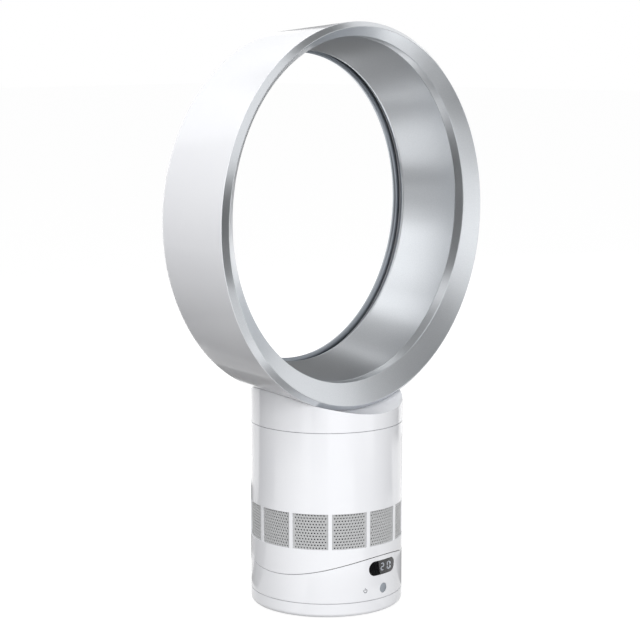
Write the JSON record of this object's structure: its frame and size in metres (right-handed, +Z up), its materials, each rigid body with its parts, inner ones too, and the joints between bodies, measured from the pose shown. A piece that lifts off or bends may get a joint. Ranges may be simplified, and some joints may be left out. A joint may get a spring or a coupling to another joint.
{
  "type": "bladeless fan",
  "caption": "Bladeless table fan: a hollow loop nozzle on a cylindrical body with a grille band, tilting and turning on a round foot, with a mixed-flow air mover inside.",
  "frame": {"origin": "centre of the foot's underside, on the table", "axes": "+Z up through the body's axis, front of the fan faces -Y, +X is to the right for someone who looks along +Y at the front"},
  "size_m": [0.3606, 0.145, 0.552],
  "materials": {
    "white_gloss": "high-gloss moulded ABS",
    "white_satin": "satin moulded ABS",
    "silver_lacquer": "metallic silver lacquer over moulded ABS",
    "silver_button": "metallic lacquer",
    "grille_grey": "perforated sheet, grey",
    "smoked_window": "smoked, polished",
    "display_black": "moulded black",
    "circuit_board": "glass-fibre board",
    "inner_plastic": "grey moulded ABS",
    "impeller_plastic": "glass-filled nylon",
    "acetal": "natural acetal",
    "bronze": "sintered bronze",
    "rubber": "moulded rubber",
    "grey_rubber": "moulded grey rubber",
    "foam": "open-cell acoustic foam",
    "steel": "zinc-plated",
    "zinc_steel": "zinc-plated pressing",
    "lamination_steel": "laminated, varnished"
  },
  "bodies": {
    "foot": {"foot_shell": "white_gloss", "foot_pad": "rubber", "base_plate": "zinc_steel", "foot_screws": "steel", "glide_ring": "acetal", "cord_gland": "grey_rubber", "cord_clamp": "inner_plastic", "spindle": "acetal", "fixed_gear": "acetal", "spindle_screws": "steel", "retaining_ring": "steel"},
    "turntable": {"control_housing": "white_gloss", "turntable_plate": "inner_plastic", "hub_bush": "bronze", "tilt_cradle": "white_satin", "plate_screws": "steel", "display_window": "smoked_window", "display_board": "circuit_board", "digit_display": "display_black", "infrared_receiver": "display_black", "button_switch": "display_black", "control_board": "circuit_board", "oscillation_motor": "steel", "motor_screws": "steel"},
    "pinion": {"drive_pinion": "acetal"},
    "button": {"power_button": "silver_button"},
    "head": {"body_shell": "white_gloss", "inlet_grille": "grille_grey", "tilt_plate": "white_satin", "rail_keepers": "steel", "keeper_screws": "steel", "silencer_foam": "foam", "mount_ring": "grey_rubber", "inlet_bellmouth": "inner_plastic", "impeller_shroud": "inner_plastic", "vane_bucket": "inner_plastic", "bucket_cap": "inner_plastic", "motor_stator": "lamination_steel", "motor_bearings": "steel", "duct_gasket": "grey_rubber", "loop_collar": "white_gloss", "loop_outer_shell": "white_gloss", "loop_inner_shell": "silver_lacquer", "loop_front_ring": "silver_lacquer", "slot_spacers": "inner_plastic"},
    "impeller": {"motor_shaft": "steel", "motor_rotor": "lamination_steel", "impeller": "impeller_plastic"}
  },
  "joints": [
    {"name": "oscillation", "type": "hinge", "parent": "foot", "child": "turntable", "pos_m": [0, 0, 0.0146], "axis": [0, 0, 1], "range_deg": [-45, 45]},
    {"name": "pinion_spin", "type": "hinge", "parent": "turntable", "child": "pinion", "pos_m": [0, 0.03, 0.0115], "axis": [0, 0, 1], "range_deg": [-185, 185]},
    {"name": "power_press", "type": "slide", "parent": "turntable", "child": "button", "axis": [0, 1, 0], "range_m": [0, 0.0008], "stiffness_N_per_m": 500, "springref_m": -0.001},
    {"name": "tilt", "type": "hinge", "parent": "turntable", "child": "head", "pos_m": [0, 0, 0.213], "axis": [1, 0, 0], "range_deg": [-10, 10]},
    {"name": "impeller_spin", "type": "hinge", "parent": "head", "child": "impeller", "pos_m": [0, 0, 0.13], "axis": [0, 0, 1], "continuous": true}
  ],
  "couplings": [
    {"joint": "pinion_spin", "follows": "oscillation", "ratio": 4}
  ]
}
